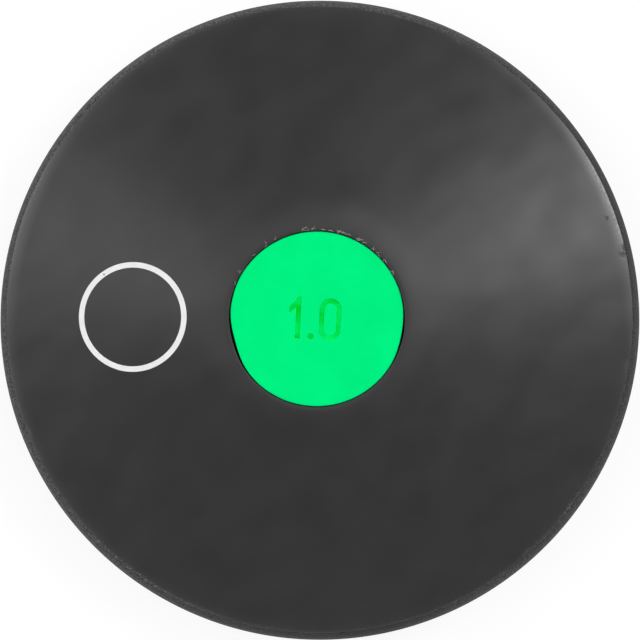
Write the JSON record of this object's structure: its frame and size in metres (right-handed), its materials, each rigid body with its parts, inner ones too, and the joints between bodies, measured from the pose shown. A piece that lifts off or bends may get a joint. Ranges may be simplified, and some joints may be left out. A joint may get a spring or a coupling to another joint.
{
  "type": "discus",
  "caption": "Lens-shaped throwing discus of black rubber moulded round a steel weight, with a coloured plastic plate set flush into the middle of each face.",
  "frame": {"origin": "centre of the discus: on its axis, at the middle of its thickness", "axes": "the discus lies flat: +Z along its axis, out of the front face, which carries the printed ring; +X to the right and +Y to the top of that face as its weight mark is read"},
  "size_m": [0.181, 0.181, 0.038],
  "materials": {
    "black_rubber": "satin",
    "green_plastic": "satin",
    "weight_steel": "satin"
  },
  "bodies": {
    "root": {"rubber_body": "black_rubber", "core_weight": "weight_steel", "front_centre_plate": "green_plastic", "rear_centre_plate": "green_plastic"}
  },
  "joints": []
}
